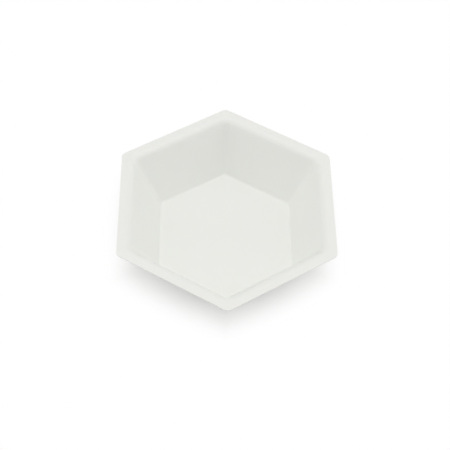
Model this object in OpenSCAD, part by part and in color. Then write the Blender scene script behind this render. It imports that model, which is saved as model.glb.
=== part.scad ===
// Hexagonal weighing boat, formed from one sheet of polystyrene.
//
// A flat six-sided floor, six leaning walls that meet in soft creases, and a
// narrow flange round the mouth. The sheet has one thickness throughout. The
// flange is formed too wide, and a trimming die then cuts it to its outline.
//
// Frame: the origin is the centre of the floor's underside, on the table, and
// +Z is up. Two corners of the hexagon lie on the Y axis and two flats face X.

/* [Rim] */
// Overall width across flats, at the cut edge of the flange
rim_across = 76; // [60:1:100]
// Width of the flange, from the mouth to the cut edge
flange_width = 4; // [3.5:0.25:6]
// Fall of the flange towards its cut edge, in degrees
flange_fall = 2; // [0:0.5:8]
// Radius on top, where a wall rolls over into the flange
roll_r = 3; // [1:0.25:3.5]
// Radius of the six corners of the cut edge
cut_corner_r = 2.5; // [0.5:0.5:6]

/* [Cup] */
// Overall height, from the table to the crest of the rim
height = 19.8; // [14:0.2:26]
// Lean of the walls away from the vertical, in degrees
wall_lean = 27; // [15:1:35]
// Radius between the floor and a wall, on the inside
floor_r = 0.6; // [0.5:0.1:3]
// Radius of the creases between the walls, on the inside at the floor
floor_crease_r = 1.25; // [0.5:0.25:4]
// Radius of the creases between the walls, on the inside at the mouth
mouth_crease_r = 3.5; // [0.5:0.25:6]

/* [Sheet] */
// Thickness of the sheet
sheet_t = 0.35; // [0.2:0.05:0.8]

/* [Hidden] */

sides = 6;
half_side_angle = 180 / sides;
first_corner_angle = 90;
straight_up = 90;
straight_down = -90;
corner_steps = 8;       // chords round each corner of the plan
bend_steps = 8;         // chords round each bend of the section
cut_allowance = 2;      // how far the formed flange runs past the cut edge
die_clearance = 1;      // how far the die runs past the sheet, up and down

white_polystyrene = [0.91, 0.92, 0.90];

// Apothems: distances from the axis to the middle of a side.
rim_apothem = rim_across / 2;
mouth_apothem = rim_apothem - flange_width;
floor_apothem = mouth_apothem - (height - sheet_t) * tan(wall_lean);

// A point of the section is [apothem, height]. Each bend has one centre for
// both faces of the sheet, and turns through the slope of the wall.
wall_slope = 90 - wall_lean;
floor_bend = [floor_apothem - floor_r * tan(wall_slope / 2), sheet_t + floor_r];
roll_bend = [mouth_apothem + roll_r * tan(wall_slope / 2), height - roll_r];

// The points round one bend, at radius r from its centre.
function bend(centre, r, from, to) =
    [for (i = [0 : bend_steps])
        let (angle = from + (to - from) * i / bend_steps)
        centre + r * [cos(angle), sin(angle)]];

// The outer end of the flange, on the face at radius r from the roll's centre.
function flange_end(r) =
    let (start = roll_bend + r * [sin(flange_fall), cos(flange_fall)],
         reach = rim_apothem + cut_allowance)
    [reach, start.y - (reach - start.x) * tan(flange_fall)];

// One face of the sheet in section, from the floor out to the flange, at the
// given radii from the centres of the two bends.
function face_section(radius_at_floor, radius_at_roll) = concat(
    bend(floor_bend, radius_at_floor, straight_down, -wall_lean),
    bend(roll_bend, radius_at_roll, straight_up + wall_slope, straight_up - flange_fall),
    [flange_end(radius_at_roll)]);

top_section = face_section(floor_r, roll_r);
under_section = face_section(floor_r + sheet_t, roll_r - sheet_t);

// The radius of a crease's top face, which grows from the floor to the mouth.
function crease_r(z) =
    let (rise = (z - sheet_t) / (height - sheet_t))
    floor_crease_r + (mouth_crease_r - floor_crease_r) * rise;

// A hexagon of apothem core, grown by r, so that its corners are round.
function rounded_hexagon(core, r) =
    [for (side = [0 : sides - 1], i = [0 : corner_steps])
        let (corner = first_corner_angle + 2 * half_side_angle * side,
             turn = corner + half_side_angle * (2 * i / corner_steps - 1))
        core / cos(half_side_angle) * [cos(corner), sin(corner)]
            + r * [cos(turn), sin(turn)]];

// The loop that a point of either face sweeps round the plan. The point beside
// it on the top face sets the corner centres, so the sheet keeps its thickness.
function loop(point, top_point) =
    let (core = top_point.x - crease_r(top_point.y))
    [for (p = rounded_hexagon(core, point.x - core)) [p.x, p.y, point.y]];

// A closed skin over a stack of loops, capped at both ends.
module skin(loops) {
    n = len(loops[0]);
    last = len(loops) - 1;
    polyhedron(
        points = [for (l = loops) each l],
        faces = concat(
            [[for (j = [n - 1 : -1 : 0]) j]],
            [for (i = [0 : last - 1], j = [0 : n - 1])
                let (k = (j + 1) % n)
                [i * n + j, i * n + k, (i + 1) * n + k, (i + 1) * n + j]],
            [[for (j = [0 : n - 1]) last * n + j]]),
        convexity = 4);
}

// The sheet as it leaves the mould, with its flange still too wide: out along
// the top face, and back along the underside.
module formed_sheet() {
    last = len(top_section) - 1;
    skin(concat(
        [for (i = [0 : last]) loop(top_section[i], top_section[i])],
        [for (i = [last : -1 : 0]) loop(under_section[i], top_section[i])]));
}

// The space inside the trimming die.
module trimming_die() {
    translate([0, 0, -die_clearance])
        linear_extrude(height + 2 * die_clearance)
            polygon(rounded_hexagon(rim_apothem - cut_corner_r, cut_corner_r));
}

module boat() {
    color(white_polystyrene)
        intersection() {
            formed_sheet();
            trimming_die();
        }
}

boat();
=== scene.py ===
"""The look of a hexagonal weighing boat, formed from one sheet of white polystyrene.

The boat stands on its floor at the origin of the frame, with +Z up and two of
its corners on the Y axis. Lengths are in metres and angles are in degrees.
"""

import logging
import math
from dataclasses import dataclass, field
from enum import Enum
from functools import reduce
from typing import Iterator, Union

import bmesh
import bpy
from mathutils import Matrix, Vector


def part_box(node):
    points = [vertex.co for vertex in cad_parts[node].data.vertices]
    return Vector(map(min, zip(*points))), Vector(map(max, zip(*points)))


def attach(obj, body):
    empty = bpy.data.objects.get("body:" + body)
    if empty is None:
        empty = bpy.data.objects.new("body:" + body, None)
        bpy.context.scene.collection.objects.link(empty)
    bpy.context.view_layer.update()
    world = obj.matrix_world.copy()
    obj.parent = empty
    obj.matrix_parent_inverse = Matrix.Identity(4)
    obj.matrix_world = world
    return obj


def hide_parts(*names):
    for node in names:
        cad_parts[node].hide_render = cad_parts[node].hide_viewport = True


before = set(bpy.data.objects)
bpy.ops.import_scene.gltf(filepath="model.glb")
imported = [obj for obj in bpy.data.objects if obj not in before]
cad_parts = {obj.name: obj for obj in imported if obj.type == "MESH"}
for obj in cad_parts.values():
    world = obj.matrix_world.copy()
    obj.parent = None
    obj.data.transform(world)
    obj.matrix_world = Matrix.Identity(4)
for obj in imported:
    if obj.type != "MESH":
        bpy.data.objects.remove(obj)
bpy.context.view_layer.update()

LOG = logging.getLogger("weighing_boat")

SIDES = 6
SIDE_ANGLE = 360 / SIDES
HALF_SIDE_ANGLE = SIDE_ANGLE / 2
RIGHT_ANGLE = 90
FIRST_CORNER_ANGLE = 90
STRAIGHT_UP = 90
STRAIGHT_DOWN = -90
UP = Vector((0.0, 0.0, 1.0))
PLAIN_WHITE = (1.0, 1.0, 1.0)
LAMP_WHITE = (1.0, 0.993, 0.985)
MIDDLE_OF_NOISE = 0.5

Colour = tuple[float, float, float]
Loop = list[Vector]
VertexLoop = list[bmesh.types.BMVert]


def cos(angle: float) -> float:
    """The cosine of an angle in degrees."""
    return math.cos(math.radians(angle))


def tan(angle: float) -> float:
    """The tangent of an angle in degrees."""
    return math.tan(math.radians(angle))


def heading(angle: float) -> Vector:
    """The flat unit vector at an angle in degrees."""
    return Vector((cos(angle), math.sin(math.radians(angle))))


def turned(angle: float, axis: str) -> Matrix:
    """The rotation by an angle in degrees round the X or the Z axis."""
    return Matrix.Rotation(math.radians(angle), 3, axis)


def steps(count: int) -> list[float]:
    """The shares 0 to 1 of a stretch that is cut into count equal parts."""
    return [i / count for i in range(count + 1)]


def blend(start: float, end: float, share: float) -> float:
    """The number that lies at a share of the way from start to end."""
    return start + (end - start) * share


def opaque(colour: Colour) -> tuple[float, float, float, float]:
    """A colour with the full alpha that a colour socket asks for."""
    return (*colour, 1.0)


def grey(level: float) -> Colour:
    """The neutral colour of a level."""
    return (level, level, level)


# ---------------------------------------------------------------------------
# Meshes and objects
# ---------------------------------------------------------------------------


def neighbours(loop: VertexLoop) -> Iterator[tuple[bmesh.types.BMVert, bmesh.types.BMVert]]:
    """Each vertex of a closed loop with the one after it."""
    return zip(loop, loop[1:] + loop[:1])


def join_loops(form: bmesh.types.BMesh, first: VertexLoop, second: VertexLoop) -> None:
    """Joins two loops of equal length by a band of four-sided faces.

    The loops run anticlockwise. The band faces up where the first loop is the
    inner one, and down where it is the outer one.

    Args:
        form: The mesh that is being built.
        first: The vertices of the first loop.
        second: The vertices of the second loop.
    """
    for (a, b), (c, d) in zip(neighbours(first), neighbours(second)):
        form.faces.new((a, c, d, b))


def add_object(name: str, data: bpy.types.ID) -> bpy.types.Object:
    """Adds an object to the scene.

    Args:
        name: The object's name.
        data: Its mesh, lamp or camera.

    Returns:
        The new object.
    """
    made = bpy.data.objects.new(name, data)
    bpy.context.scene.collection.objects.link(made)
    return made


def add_form(name: str, form: bmesh.types.BMesh, material: bpy.types.Material) -> bpy.types.Object:
    """Adds an object to the scene from a mesh that has been built, and frees that mesh.

    Args:
        name: The object's name.
        form: The mesh that has been built.
        material: The object's one material.

    Returns:
        The new object.
    """
    mesh = bpy.data.meshes.new(name)
    form.to_mesh(mesh)
    form.free()
    mesh.materials.append(material)
    return add_object(name, mesh)


# ---------------------------------------------------------------------------
# Shader trees
# ---------------------------------------------------------------------------


class Signal:
    """A number that varies over a surface, with arithmetic that adds Math nodes."""

    def __init__(self, tree: "ShaderTree", socket: bpy.types.NodeSocket) -> None:
        """Wraps a socket.

        Args:
            tree: The shader tree that the socket is in.
            socket: The output socket that gives the number.
        """
        self.tree = tree
        self.socket = socket

    def _math(self, operation: str, first: "Feed", second: "Feed") -> "Signal":
        """Joins two numbers by a Math node.

        Args:
            operation: The Math node's operation.
            first: The first number.
            second: The second number.

        Returns:
            The result, as a new signal.
        """
        made = self.tree.node("ShaderNodeMath", {"operation": operation}, {0: first, 1: second})
        return Signal(self.tree, made.outputs[0])

    def __add__(self, other: "Feed") -> "Signal":
        """This number plus another."""
        return self._math("ADD", self, other)

    def __radd__(self, other: "Feed") -> "Signal":
        """Another number plus this one."""
        return self._math("ADD", other, self)

    def __sub__(self, other: "Feed") -> "Signal":
        """This number less another."""
        return self._math("SUBTRACT", self, other)

    def __rsub__(self, other: "Feed") -> "Signal":
        """Another number less this one."""
        return self._math("SUBTRACT", other, self)

    def __mul__(self, other: "Feed") -> "Signal":
        """This number times another."""
        return self._math("MULTIPLY", self, other)

    def __rmul__(self, other: "Feed") -> "Signal":
        """Another number times this one."""
        return self._math("MULTIPLY", other, self)

    def __abs__(self) -> "Signal":
        """This number without its sign."""
        return self._math("ABSOLUTE", self, 0.0)

    def at_least(self, limit: "Feed") -> "Signal":
        """This number, but never less than a limit."""
        return self._math("MAXIMUM", self, limit)

    def at_most(self, limit: "Feed") -> "Signal":
        """This number, but never more than a limit."""
        return self._math("MINIMUM", self, limit)


Feed = Union[Signal, bpy.types.NodeSocket, float, tuple, Vector]
Feeds = dict[Union[str, int], Feed]


class ShaderTree:
    """The node tree of a material or of the world."""

    def __init__(self, owner: Union[bpy.types.Material, bpy.types.World]) -> None:
        """Empties the tree of an owner, and starts to fill it.

        Args:
            owner: The material or the world whose tree it is.
        """
        owner.use_nodes = True
        self.tree = owner.node_tree
        self.tree.nodes.clear()

    def node(self, kind: str, settings: dict[str, object], feeds: Feeds) -> bpy.types.Node:
        """Adds a node.

        Args:
            kind: The node's type.
            settings: The node's own settings, which are set first.
            feeds: What goes into each socket, by its name or number: a value or a link.

        Returns:
            The new node.
        """
        made = self.tree.nodes.new(kind)
        for name, value in settings.items():
            setattr(made, name, value)
        for key, feed in feeds.items():
            source = feed.socket if isinstance(feed, Signal) else feed
            if isinstance(source, bpy.types.NodeSocket):
                self.tree.links.new(source, made.inputs[key])
            else:
                made.inputs[key].default_value = source
        return made

    def signal(
        self, kind: str, settings: dict[str, object], feeds: Feeds, out: Union[str, int] = 0,
    ) -> Signal:
        """Adds a node, and gives one of its outputs as a signal.

        Args:
            kind: The node's type.
            settings: The node's own settings.
            feeds: What goes into each socket.
            out: The output's name or number.

        Returns:
            The output, as a signal.
        """
        return Signal(self, self.node(kind, settings, feeds).outputs[out])

    def vector_maths(self, operation: str, feeds: Feeds, out: str) -> bpy.types.NodeSocket:
        """Adds a Vector Math node.

        Args:
            operation: The node's operation.
            feeds: What goes into its sockets.
            out: The output's name, which is Vector or Value.

        Returns:
            The socket that gives the result.
        """
        return self.node("ShaderNodeVectorMath", {"operation": operation}, feeds).outputs[out]

    def noise(self, place: bpy.types.NodeSocket, size: float, detail: float) -> Signal:
        """Smooth noise over a surface.

        Args:
            place: The socket that gives the place on the surface.
            size: The size of one patch, in metres.
            detail: How many finer layers of noise there are.

        Returns:
            The noise, from 0 to 1, as a signal.
        """
        feeds = {"Vector": place, "Scale": 1 / size, "Detail": detail}
        return self.signal("ShaderNodeTexNoise", {}, feeds, "Fac")

    def mix_colours(self, share: Signal, first: Colour, second: Colour) -> bpy.types.NodeSocket:
        """Mixes two colours.

        Args:
            share: The share of the second colour.
            first: The first colour.
            second: The second colour.

        Returns:
            The socket that gives the mixed colour.
        """
        factor, colour_a, colour_b, colour_out = 0, 6, 7, 2
        made = self.node(
            "ShaderNodeMix", {"data_type": "RGBA"},
            {factor: share, colour_a: opaque(first), colour_b: opaque(second)},
        )
        return made.outputs[colour_out]

    def mix_shaders(
        self, share: Signal, first: bpy.types.Node, second: bpy.types.Node,
    ) -> bpy.types.Node:
        """Mixes two shaders.

        Args:
            share: The share of the second shader.
            first: The first shader.
            second: The second shader.

        Returns:
            The Mix Shader node.
        """
        feeds = {0: share, 1: first.outputs[0], 2: second.outputs[0]}
        return self.node("ShaderNodeMixShader", {}, feeds)

    def seen_directly(self) -> Signal:
        """Tells the rays that see a surface from those that light it.

        Returns:
            1 where the camera, a reflection or glass sees the surface, and 0 for lighting.
        """
        path = self.node("ShaderNodeLightPath", {}, {})
        kinds = ("Camera", "Glossy", "Transmission")
        camera, glossy, clear = (Signal(self, path.outputs[f"Is {kind} Ray"]) for kind in kinds)
        return (camera + glossy + clear).at_most(1.0)


# ---------------------------------------------------------------------------
# Finishes
# ---------------------------------------------------------------------------


@dataclass(frozen=True)
class WhitePolystyrene:
    """White polystyrene sheet as it leaves the mould: satin, and slightly translucent."""

    colour: Colour = (0.90, 0.91, 0.88)
    thin_colour: Colour = (0.895, 0.905, 0.875)
    roughness: float = 0.46
    roughness_swing: float = 0.06
    cloud_size: float = 0.018
    cloud_detail: float = 2.0
    grain_size: float = 0.0009
    grain_detail: float = 3.0
    grain_depth: float = 0.000004
    scatter_share: float = 0.1
    scatter_depth: Colour = (0.0004, 0.00034, 0.00028)
    refraction: float = 1.55

    def material(self) -> bpy.types.Material:
        """Makes the material.

        Returns:
            The new material.
        """
        made = bpy.data.materials.new("white_polystyrene")
        tree = ShaderTree(made)
        place = tree.node("ShaderNodeTexCoord", {}, {}).outputs["Object"]
        clouds = tree.noise(place, self.cloud_size, self.cloud_detail)
        grain = tree.noise(place, self.grain_size, self.grain_detail)
        bump = tree.node(
            "ShaderNodeBump", {}, {"Strength": 1.0, "Distance": self.grain_depth, "Height": grain},
        )
        shader = tree.node(
            "ShaderNodeBsdfPrincipled",
            {"subsurface_method": "RANDOM_WALK"},
            {
                "Base Color": tree.mix_colours(clouds, self.thin_colour, self.colour),
                "Roughness": self.roughness + (clouds - MIDDLE_OF_NOISE) * self.roughness_swing,
                "IOR": self.refraction,
                "Subsurface Weight": self.scatter_share,
                "Subsurface Radius": self.scatter_depth,
                "Subsurface Scale": 1.0,
                "Normal": bump.outputs[0],
            },
        )
        tree.node("ShaderNodeOutputMaterial", {}, {"Surface": shader.outputs[0]})
        return made


@dataclass(frozen=True)
class StudioWhite:
    """The plain white of the studio's floor, which keeps the boat's shadow.

    Lamps see a plain white board. The camera sees the board with the boat's
    shadow on it, which fades to pure white a little way out from the boat. The
    shadow has the boat's six sides with softer corners, and lies a little to
    the boat's back.
    """

    board: float = 0.8
    seen: float = 1.05
    shadow_reach: float = 0.0271
    fade_reach: float = 0.0448
    shadow_middle: tuple[float, float, float] = (-0.0005, 0.003, 0.0)
    six_sided_share: float = 0.7

    def reach(self, tree: ShaderTree) -> Signal:
        """The distance from the middle of the shadow, measured in soft six-sided rings.

        Args:
            tree: The shader tree.

        Returns:
            The distance, in metres, as a signal.
        """
        place = tree.node("ShaderNodeTexCoord", {}, {}).outputs["Object"]
        offset = tree.vector_maths("SUBTRACT", {0: place, 1: self.shadow_middle}, "Vector")
        straight = Signal(tree, tree.vector_maths("LENGTH", {0: offset}, "Value"))
        spans = []
        for side in range(SIDES // 2):
            outwards = heading(SIDE_ANGLE * side).to_3d()
            span = tree.vector_maths("DOT_PRODUCT", {0: offset, 1: outwards}, "Value")
            spans.append(abs(Signal(tree, span)))
        six_sided = reduce(Signal.at_least, spans)
        return self.six_sided_share * six_sided + (1 - self.six_sided_share) * straight

    def material(self) -> bpy.types.Material:
        """Makes the material.

        Returns:
            The new material.
        """
        made = bpy.data.materials.new("studio_white")
        tree = ShaderTree(made)
        away = tree.signal(
            "ShaderNodeMapRange",
            {"interpolation_type": "SMOOTHSTEP"},
            {"Value": self.reach(tree), "From Min": self.shadow_reach, "From Max": self.fade_reach},
        )
        board = tree.node("ShaderNodeBsdfDiffuse", {}, {"Color": opaque(grey(self.board))})
        near = tree.node("ShaderNodeBsdfDiffuse", {}, {"Color": opaque(grey(self.seen))})
        far = tree.node("ShaderNodeEmission", {}, {"Color": opaque(PLAIN_WHITE), "Strength": 1.0})
        shown = tree.mix_shaders(away, near, far)
        face = tree.mix_shaders(tree.seen_directly(), board, shown)
        below = Signal(tree, tree.node("ShaderNodeNewGeometry", {}, {}).outputs["Backfacing"])
        clear = tree.node("ShaderNodeBsdfTransparent", {}, {})
        surface = tree.mix_shaders(below, face, clear)
        tree.node("ShaderNodeOutputMaterial", {}, {"Surface": surface.outputs[0]})
        return made


# ---------------------------------------------------------------------------
# The boat
# ---------------------------------------------------------------------------


class Face(Enum):
    """The two faces of the sheet."""

    TOP = "top"
    UNDER = "under"


@dataclass(frozen=True)
class Station:
    """One place along the sheet's section, with a point on each face.

    A point is a distance from the axis, at the middle of a side, and a height.
    The core is the distance to the centres of the six corner curves there.
    """

    top: Vector
    under: Vector
    core: float

    def point(self, face: Face) -> Vector:
        """The station's point on one face of the sheet."""
        return self.top if face is Face.TOP else self.under


@dataclass
class WeighingBoat:
    """The boat: a floor, six leaning walls, a rolled mouth and a narrow flange."""

    across_flats: float
    height: float
    flange_width: float = 0.004
    flange_fall: float = 2.0
    roll_radius: float = 0.003
    cut_corner_radius: float = 0.0025
    wall_lean: float = 27.0
    floor_radius: float = 0.0006
    floor_crease_radius: float = 0.00125
    mouth_crease_radius: float = 0.0035
    sheet_thickness: float = 0.00035
    cut_edge_radius: float = 0.00007
    corner_parts: int = 12
    side_parts: int = 16
    bend_parts: int = 10
    wall_parts: int = 12
    floor_parts: int = 9
    flange_parts: int = 4
    cut_edge_parts: int = 3
    finish: WhitePolystyrene = field(default_factory=WhitePolystyrene)

    @property
    def rim_apothem(self) -> float:
        """The distance from the axis to the middle of a side of the cut edge."""
        return self.across_flats / 2

    @property
    def mouth_apothem(self) -> float:
        """The distance from the axis to the line where a wall would meet the flange."""
        return self.rim_apothem - self.flange_width

    @property
    def floor_apothem(self) -> float:
        """The distance from the axis to the line where a wall would meet the floor."""
        return self.mouth_apothem - (self.height - self.sheet_thickness) * tan(self.wall_lean)

    @property
    def foot_apothem(self) -> float:
        """The distance from the axis to the edge of the flat underside."""
        return self.floor_apothem - self.floor_radius * tan(self.wall_slope / 2)

    @property
    def wall_slope(self) -> float:
        """The slope of the walls above the level, in degrees."""
        return RIGHT_ANGLE - self.wall_lean

    def crease_radius(self, height: float) -> float:
        """The radius of a crease's top face, which grows from the floor to the mouth.

        Args:
            height: The height above the table.

        Returns:
            The radius there.
        """
        rise = (height - self.sheet_thickness) / (self.height - self.sheet_thickness)
        return blend(self.floor_crease_radius, self.mouth_crease_radius, rise)

    def station(self, top: Vector, under: Vector) -> Station:
        """Makes the station of two points that face each other through the sheet."""
        return Station(top, under, top.x - self.crease_radius(top.y))

    def bend(
        self, centre: Vector, top_radius: float, under_radius: float, turn: tuple[float, float],
    ) -> list[Station]:
        """The stations round one bend of the section.

        Args:
            centre: The centre of the bend.
            top_radius: The radius of the top face.
            under_radius: The radius of the underside.
            turn: The angles at which the bend starts and ends.

        Returns:
            The stations, in order.
        """
        headings = [heading(blend(*turn, share)) for share in steps(self.bend_parts)]
        return [self.station(centre + top_radius * h, centre + under_radius * h) for h in headings]

    def cup_stations(self) -> list[Station]:
        """The stations of the section from the edge of the floor to the end of the roll.

        Returns:
            The stations, in order.
        """
        sheet, slope = self.sheet_thickness, self.wall_slope
        foot_radius, roll_radius = self.floor_radius, self.roll_radius
        foot_centre = Vector((self.foot_apothem, sheet + foot_radius))
        foot_turn = (STRAIGHT_DOWN, -self.wall_lean)
        foot = self.bend(foot_centre, foot_radius, foot_radius + sheet, foot_turn)
        roll_apothem = self.mouth_apothem + roll_radius * tan(slope / 2)
        roll_centre = Vector((roll_apothem, self.height - roll_radius))
        roll_turn = (STRAIGHT_UP + slope, STRAIGHT_UP - self.flange_fall)
        roll = self.bend(roll_centre, roll_radius, roll_radius - sheet, roll_turn)
        low, high = foot[-1], roll[0]
        wall = [
            self.station(low.top.lerp(high.top, share), low.under.lerp(high.under, share))
            for share in steps(self.wall_parts)
        ]
        return foot + wall[1:-1] + roll

    def ring(self, core: float, radius: float) -> list[Vector]:
        """A hexagon with round corners, as flat points.

        Args:
            core: The distance from the axis to the corner centres, at the middle of a side.
            radius: The radius of the corners.

        Returns:
            The points, anticlockwise from the first corner.
        """
        reach = core / cos(HALF_SIDE_ANGLE)
        points = []
        for side in range(SIDES):
            corner = FIRST_CORNER_ANGLE + SIDE_ANGLE * side
            following = corner + SIDE_ANGLE
            for share in steps(self.corner_parts):
                turn = corner + HALF_SIDE_ANGLE * (2 * share - 1)
                points.append(reach * heading(corner) + radius * heading(turn))
            start = points[-1]
            end = reach * heading(following) + radius * heading(following - HALF_SIDE_ANGLE)
            points += [start.lerp(end, share) for share in steps(self.side_parts)[1:-1]]
        return points

    def flange_fall_at(self, point: Vector, end: Station) -> float:
        """How far the flange has fallen below the end of the roll.

        Args:
            point: The flat point.
            end: The station at the end of the roll.

        Returns:
            The fall, in metres.
        """
        side = round(math.degrees(math.atan2(point.y, point.x)) / SIDE_ANGLE)
        across = heading(SIDE_ANGLE * side)
        along = Vector((-across.y, across.x))
        half_side = end.core * tan(HALF_SIDE_ANGLE)
        past = max(0.0, abs(point.dot(along)) - half_side)
        out = math.hypot(point.dot(across) - end.core, past)
        return (end.core + out - end.top.x) * tan(self.flange_fall)

    def cut_outline(self, inset: float) -> list[Vector]:
        """The outline that the die cuts, as flat points, at an inset from the widest one."""
        return self.ring(self.rim_apothem - self.cut_corner_radius, self.cut_corner_radius - inset)

    def cup_loops(self, face: Face, cup: list[Station]) -> list[Loop]:
        """The loops of one face, from the middle of the floor to the end of the roll.

        Args:
            face: The face of the sheet.
            cup: The stations of the section.

        Returns:
            The loops, from the smallest to the widest.
        """
        foot = cup[0]
        point = foot.point(face)
        loops = []
        for share in steps(self.floor_parts)[1:-1]:
            flat = self.ring(foot.core * share, (point.x - foot.core) * share)
            loops.append([p.to_3d() + point.y * UP for p in flat])
        for station in cup:
            point = station.point(face)
            flat = self.ring(station.core, point.x - station.core)
            loops.append([p.to_3d() + point.y * UP for p in flat])
        return loops

    def flange_loops(self, end: Station) -> list[Loop]:
        """The loops of the flange's top face, from the end of the roll to the cut edge.

        Args:
            end: The station at the end of the roll.

        Returns:
            The loops, from the smallest to the widest.
        """
        inner = self.ring(end.core, end.top.x - end.core)
        outer = self.cut_outline(self.cut_edge_radius)
        loops = []
        for share in steps(self.flange_parts)[1:]:
            flat = [p.lerp(q, share) for p, q in zip(inner, outer)]
            heights = [end.top.y - self.flange_fall_at(p, end) for p in flat]
            loops.append([p.to_3d() + z * UP for p, z in zip(flat, heights)])
        return loops

    def edge_loops(self, rim: Loop, inwards: float) -> list[Loop]:
        """The loops round one corner of the cut edge, from a face of the sheet out to the cut.

        Args:
            rim: The last loop of the face.
            inwards: 1 if the sheet is above the face, and -1 if it is below.

        Returns:
            The loops, from the face to the cut.
        """
        loops = []
        for share in steps(self.cut_edge_parts)[1:]:
            turn = heading(RIGHT_ANGLE * share)
            flat = self.cut_outline(self.cut_edge_radius * (1 - turn.y))
            shift = inwards * self.cut_edge_radius * (1 - turn.x)
            loops.append([p.to_3d() + (q.z + shift) * UP for p, q in zip(flat, rim)])
        return loops

    def foot_outline(self) -> list[Vector]:
        """The outline of the flat underside, as flat points."""
        foot = self.cup_stations()[0]
        return self.ring(foot.core, foot.under.x - foot.core)

    def loops(self) -> list[Loop]:
        """The loops of the whole skin.

        Returns:
            The loops of the top face, the cut edge, and back along the underside.
        """
        cup = self.cup_stations()
        through = self.sheet_thickness / cos(self.flange_fall) * UP
        flange = self.flange_loops(cup[-1])
        under_flange = [[p - through for p in loop] for loop in flange]
        top = self.cup_loops(Face.TOP, cup) + flange + self.edge_loops(flange[-1], -1)
        under = self.cup_loops(Face.UNDER, cup) + under_flange + self.edge_loops(under_flange[-1], 1)
        return top + under[::-1]

    def build(self) -> bpy.types.Object:
        """Builds the sheet as one closed skin, and dresses it.

        Returns:
            The new object.
        """
        skin = bmesh.new()
        rows = [[skin.verts.new(p) for p in loop] for loop in self.loops()]
        for row, following in zip(rows, rows[1:]):
            join_loops(skin, row, following)
        top_middle = skin.verts.new((0.0, 0.0, self.sheet_thickness))
        for a, b in neighbours(rows[0]):
            skin.faces.new((top_middle, a, b))
        under_middle = skin.verts.new((0.0, 0.0, 0.0))
        for a, b in neighbours(rows[-1]):
            skin.faces.new((under_middle, b, a))
        made = add_form("boat_sheet", skin, self.finish.material())
        made.data.shade_smooth()
        made.modifiers.new("even_normals", "WEIGHTED_NORMAL")
        return made


# ---------------------------------------------------------------------------
# The studio
# ---------------------------------------------------------------------------


@dataclass
class StudioFloor:
    """The plain floor round the boat's foot.

    It is left open under the foot, so that light reaches the underside when the
    boat is looked at from below.
    """

    opening: list[Vector]
    radius: float = 0.6
    finish: StudioWhite = field(default_factory=StudioWhite)

    def build(self) -> bpy.types.Object:
        """Builds the floor.

        Returns:
            The new object.
        """
        board = bmesh.new()
        inner = [board.verts.new(p.to_3d()) for p in self.opening]
        outer = [board.verts.new((self.radius * p.normalized()).to_3d()) for p in self.opening]
        join_loops(board, inner, outer)
        return add_form("studio_floor", board, self.finish.material())


@dataclass
class Softbox:
    """An oblong soft lamp that points at the boat.

    Its level is the share of plain light that it gives a level surface at the
    boat, where a full share makes a colour come out as it is written.
    """

    name: str
    azimuth: float
    elevation: float
    distance: float
    width: float
    height: float
    level: float
    colour: Colour = LAMP_WHITE

    def build(self) -> bpy.types.Object:
        """Builds the lamp.

        Returns:
            The new object.
        """
        side, rise = heading(self.azimuth), heading(self.elevation)
        away = Vector((side.x * rise.x, side.y * rise.x, rise.y))
        lamp = bpy.data.lights.new(self.name, "AREA")
        lamp.shape = "RECTANGLE"
        lamp.size = self.width
        lamp.size_y = self.height
        lamp.color = self.colour
        # A full share is pi watts per square metre. Head-on, a lamp gives power / (pi * distance ** 2).
        lamp.energy = self.level * (math.pi * self.distance) ** 2 / rise.y
        made = add_object(self.name, lamp)
        made.location = away * self.distance
        made.rotation_mode = "QUATERNION"
        made.rotation_quaternion = away.to_track_quat("Z", "Y")
        return made


SOFTBOXES = (
    Softbox("overhead", azimuth=0, elevation=90, distance=0.9, width=0.66, height=0.66, level=0.258),
    Softbox("left", azimuth=180, elevation=24, distance=0.9, width=0.66, height=1.05, level=0.085),
    Softbox("right", azimuth=5, elevation=25, distance=0.9, width=0.66, height=1.05, level=0.095),
)


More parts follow.
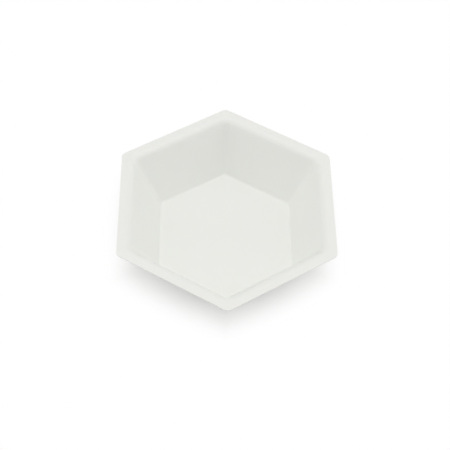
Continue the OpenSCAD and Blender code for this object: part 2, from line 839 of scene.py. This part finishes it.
@dataclass
class StudioAir:
    """The light that comes from all round, and the white that shows behind the floor."""

    level: float = 0.526
    colour: Colour = LAMP_WHITE

    def build(self) -> None:
        """Lights the world."""
        world = bpy.data.worlds.new("studio_air")
        tree = ShaderTree(world)
        lighting = {"Color": opaque(self.colour), "Strength": self.level}
        backdrop = {"Color": opaque(PLAIN_WHITE), "Strength": 1.0}
        light = tree.node("ShaderNodeBackground", {}, lighting)
        white = tree.node("ShaderNodeBackground", {}, backdrop)
        shown = tree.mix_shaders(tree.seen_directly(), light, white)
        tree.node("ShaderNodeOutputWorld", {}, {"Surface": shown.outputs[0]})
        bpy.context.scene.world = world


@dataclass
class Camera:
    """The camera, which looks down into the cup over the front corner."""

    elevation: float = 55.55
    turn: float = 2.54
    roll: float = -2.46
    distance: float = 0.362
    lens: float = 81.75
    aim_right: float = -0.00026
    aim_up: float = -0.0077
    nearest_seen: float = 0.01

    def build(self, crest: float) -> bpy.types.Object:
        """Builds the camera, and makes it the scene's.

        Args:
            crest: The height of the rim's crest, at the centre of which the camera is aimed.

        Returns:
            The new object.
        """
        square = turned(-self.turn, "Z") @ turned(RIGHT_ANGLE - self.elevation, "X")
        right, up, back = square.col
        aim = Vector((0, 0, crest)) + self.aim_right * right + self.aim_up * up
        data = bpy.data.cameras.new("camera")
        data.lens = self.lens
        data.clip_start = self.nearest_seen
        made = add_object("camera", data)
        made.location = aim + back * self.distance
        made.rotation_mode = "QUATERNION"
        made.rotation_quaternion = (square @ turned(-self.roll, "Z")).to_quaternion()
        bpy.context.scene.camera = made
        return made


def main() -> None:
    """Builds the boat and its studio."""
    logging.basicConfig(level=logging.INFO, format="%(name)s: %(message)s")
    low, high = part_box("boat")
    boat = WeighingBoat(across_flats=high.x - low.x, height=high.z - low.z)
    sheet = boat.build()
    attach(sheet, "root")
    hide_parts("boat")
    LOG.info("%s: %d faces", sheet.name, len(sheet.data.polygons))

    floor = StudioFloor(boat.foot_outline()).build()
    LOG.info("%s: %.2f m across", floor.name, floor.dimensions.x)
    air = StudioAir()
    air.build()
    LOG.info("studio_air: level %.3f", air.level)
    for softbox in SOFTBOXES:
        lamp = softbox.build()
        LOG.info("%s: %.2f W", lamp.name, lamp.data.energy)
    camera = Camera().build(high.z)
    LOG.info("%s: %.1f mm lens", camera.name, camera.data.lens)
    bpy.context.scene.view_settings.view_transform = "Standard"


if __name__ == "__main__":
    main()
